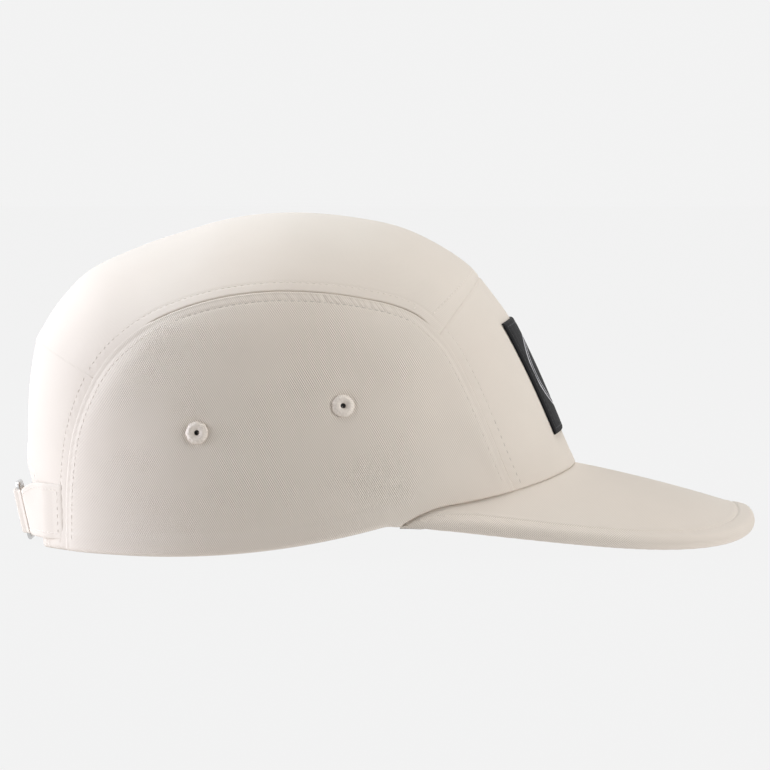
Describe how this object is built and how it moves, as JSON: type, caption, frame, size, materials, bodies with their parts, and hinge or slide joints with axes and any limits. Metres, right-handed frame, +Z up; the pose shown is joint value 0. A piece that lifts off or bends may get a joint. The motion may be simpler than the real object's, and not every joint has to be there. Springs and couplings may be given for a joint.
{
  "type": "five panel cap",
  "caption": "Five panel cap of off-white cotton twill with a long gently bent peak, a dark woven front patch, stitched eyelets and a back strap in a metal slide.",
  "frame": {"origin": "middle of the cap's box, on the surface that the rim stands on", "axes": "+X to the wearer's front, over the peak; +Y to the wearer's left; +Z up"},
  "size_m": [0.271, 0.1598, 0.12],
  "materials": {
    "cotton_twill": "off-white cotton twill, matt",
    "patch_weave": "black woven label cloth",
    "eyelet_thread": "embroidery thread in the cloth's colour",
    "buckle_steel": "polished nickel plate"
  },
  "bodies": {
    "root": {"front_panel": "cotton_twill", "top_panel": "cotton_twill", "back_panel": "cotton_twill", "side_panel_right": "cotton_twill", "side_panel_left": "cotton_twill", "peak": "cotton_twill", "strap_left": "cotton_twill", "strap_right": "cotton_twill", "front_patch": "patch_weave", "eyelet_right_rear": "eyelet_thread", "eyelet_right_front": "eyelet_thread", "eyelet_left_rear": "eyelet_thread", "eyelet_left_front": "eyelet_thread", "slide_buckle": "buckle_steel"}
  },
  "joints": []
}
